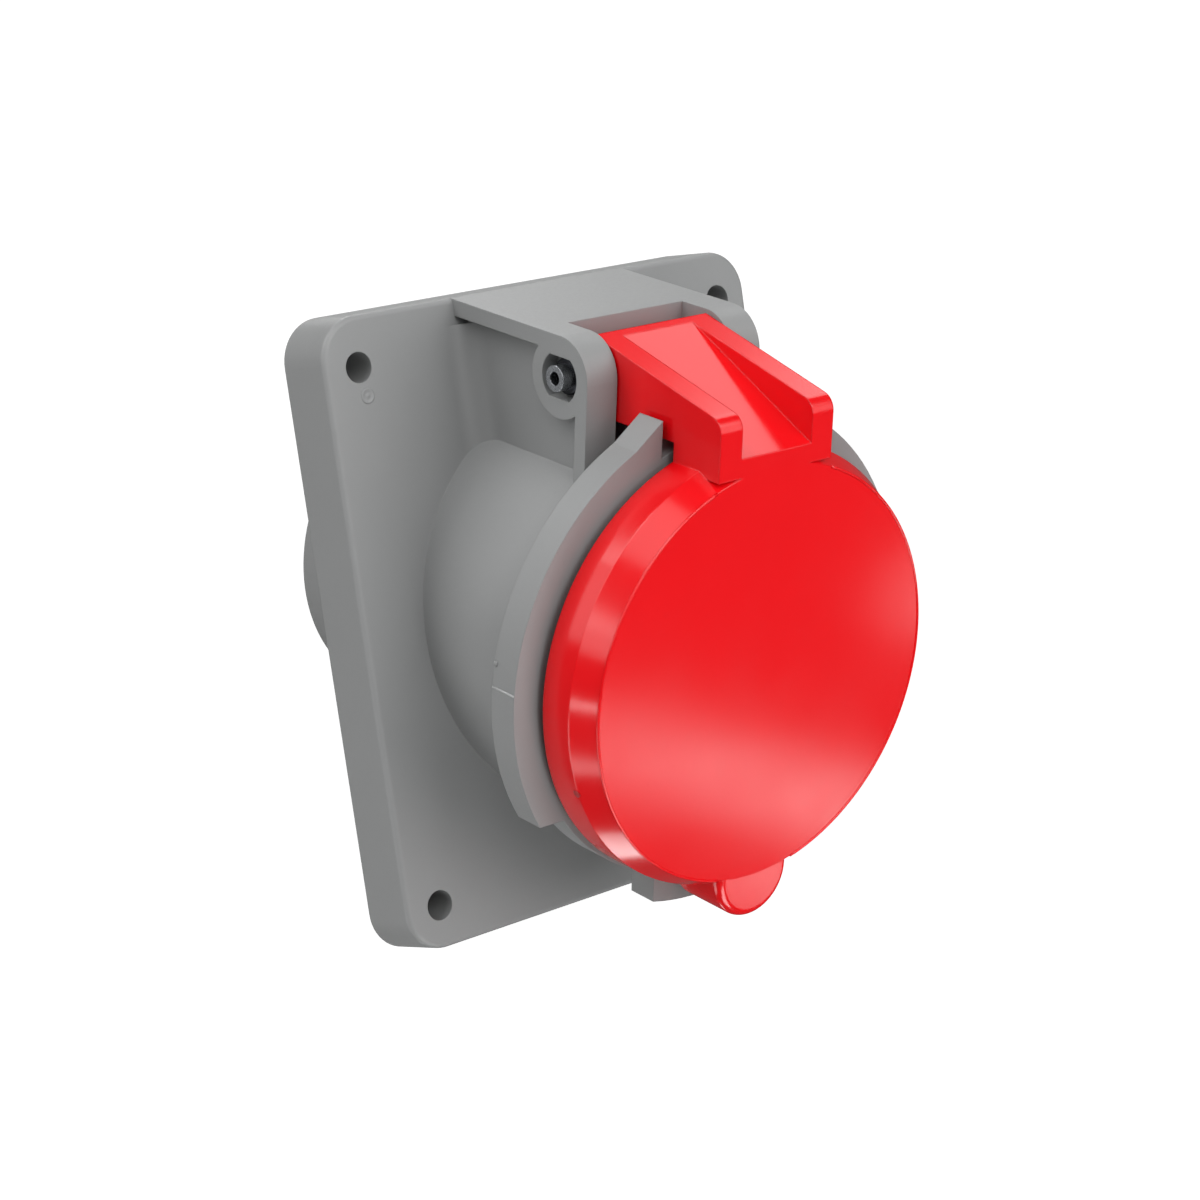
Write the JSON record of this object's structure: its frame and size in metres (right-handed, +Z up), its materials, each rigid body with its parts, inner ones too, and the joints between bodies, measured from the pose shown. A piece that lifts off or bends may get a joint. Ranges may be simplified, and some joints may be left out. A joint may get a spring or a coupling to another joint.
{
  "type": "industrial panel socket",
  "caption": "Inclined round industrial power socket on a rectangular flange, with a sprung hinged lid, locking lugs and pin contacts inside.",
  "frame": {"origin": "middle of the flange's mounting face, between the four fixing holes", "axes": "+Z up the panel, +Y into the panel, +X to the right as seen from the front, so the socket looks towards -Y"},
  "size_m": [0.1, 0.1114, 0.1166],
  "materials": {
    "grey_moulding": "satin moulded polyamide",
    "red_moulding": "glossy moulded polyamide",
    "black_rubber": "soft moulded rubber",
    "plated_steel": "zinc plated steel",
    "dark_steel": "dark oxide steel",
    "insert_moulding": "matt moulded insulating plastic",
    "contact_brass": "machined brass"
  },
  "bodies": {
    "housing": {"flange_housing": "grey_moulding", "hinge_pin": "plated_steel", "pin_retainers": "dark_steel", "hinge_spring": "plated_steel", "contact_carrier": "insert_moulding", "retaining_plate": "insert_moulding", "line_contact_1": "contact_brass", "line_contact_2": "contact_brass", "line_contact_3": "contact_brass", "neutral_contact": "contact_brass", "earth_contact": "contact_brass", "line_spring_ring_1": "plated_steel", "line_spring_ring_2": "plated_steel", "line_spring_ring_3": "plated_steel", "neutral_spring_ring": "plated_steel", "earth_spring_ring": "plated_steel", "terminal_screws": "plated_steel", "carrier_screws": "plated_steel", "terminal_housing": "grey_moulding", "housing_screws": "plated_steel", "body_seal": "black_rubber", "flange_gasket": "black_rubber"},
    "cover": {"lid": "red_moulding", "lid_gasket": "black_rubber"}
  },
  "joints": [
    {"name": "lid_hinge", "type": "hinge", "parent": "housing", "child": "cover", "pos_m": [0, -0.03974, 0.04289], "axis": [-1, 0, 0], "range_deg": [0, 90], "stiffness_Nm_per_rad": 0.05, "springref_deg": -45.84, "deforming": ["hinge_spring"]}
  ]
}
